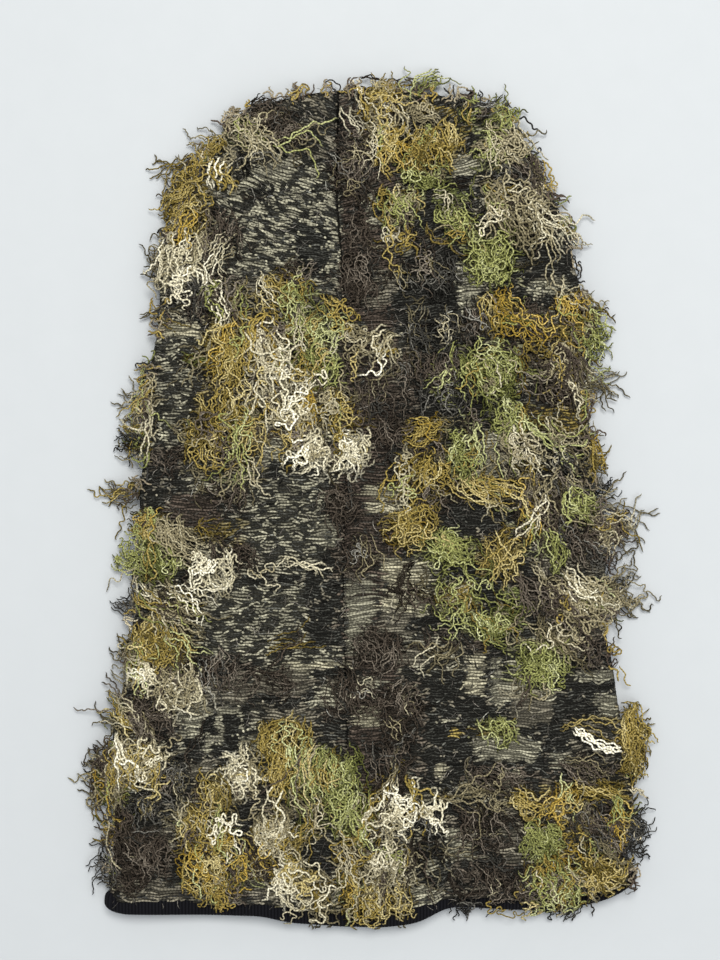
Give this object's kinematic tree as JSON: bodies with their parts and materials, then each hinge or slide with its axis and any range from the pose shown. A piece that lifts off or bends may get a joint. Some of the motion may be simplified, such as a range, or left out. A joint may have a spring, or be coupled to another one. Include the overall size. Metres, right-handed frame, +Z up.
{
  "type": "ghillie hood",
  "caption": "Camouflage knitted hood lying flat: a closed bag with a sewn crown, a ribbed hem round the neck opening and cut yarn tufts in earth colours all over.",
  "frame": {"origin": "on the surface the hood lies on, under the middle of its box", "axes": "+Z up through the laid-flat hood, +Y from the neck opening to the crown, +X to the right seen from above"},
  "size_m": [0.2606, 0.3936, 0.0236],
  "materials": {
    "camouflage_knit": "jacquard knit in charcoal, khaki tan, brown and green, matt and slightly fuzzy",
    "hem_rib": "fine black rib, matt",
    "sewing_thread": "black overlock and cover stitch thread",
    "cream_yarn": "crimped two-ply acrylic yarn, cream",
    "mustard_yarn": "crimped two-ply acrylic yarn, mustard",
    "green_yarn": "crimped two-ply acrylic yarn, light olive green",
    "tan_yarn": "crimped two-ply acrylic yarn, taupe to tan",
    "brown_yarn": "crimped two-ply acrylic yarn, dark brown",
    "charcoal_yarn": "crimped two-ply acrylic yarn, charcoal",
    "mixed_yarn": "crimped two-ply acrylic yarn in all the colours",
    "flattened_yarn": "the same yarn, pressed flat under the hood"
  },
  "bodies": {
    "hood": {"back_left_upper": "camouflage_knit", "back_right_upper": "camouflage_knit", "brown_tufts_upper": "brown_yarn", "centre_seam_upper": "sewing_thread", "charcoal_tufts_upper": "charcoal_yarn", "cream_tufts_upper": "cream_yarn", "crown_dart_back": "sewing_thread", "crown_dart_front": "sewing_thread", "crown_dart_left": "sewing_thread", "crown_dart_right": "sewing_thread", "fringe_upper": "mixed_yarn", "front_upper": "camouflage_knit", "green_tufts_upper": "green_yarn", "mustard_tufts_upper": "mustard_yarn", "side_left_upper": "camouflage_knit", "side_right_upper": "camouflage_knit", "tan_tufts_upper": "tan_yarn", "under_tufts_upper": "flattened_yarn"},
    "neck": {"back_left_lower": "camouflage_knit", "back_right_lower": "camouflage_knit", "brown_tufts_lower": "brown_yarn", "centre_seam_lower": "sewing_thread", "charcoal_tufts_lower": "charcoal_yarn", "cream_tufts_lower": "cream_yarn", "fringe_lower": "mixed_yarn", "front_lower": "camouflage_knit", "green_tufts_lower": "green_yarn", "mustard_tufts_lower": "mustard_yarn", "side_left_lower": "camouflage_knit", "side_right_lower": "camouflage_knit", "tan_tufts_lower": "tan_yarn", "under_tufts_lower": "flattened_yarn", "hem_band": "hem_rib", "hem_stitching": "sewing_thread"}
  },
  "joints": [
    {"name": "neck_fold", "type": "hinge", "parent": "hood", "child": "neck", "pos_m": [0, -0.062, 0.0242], "axis": [-1, 0, 0], "range_deg": [0, 170]}
  ]
}
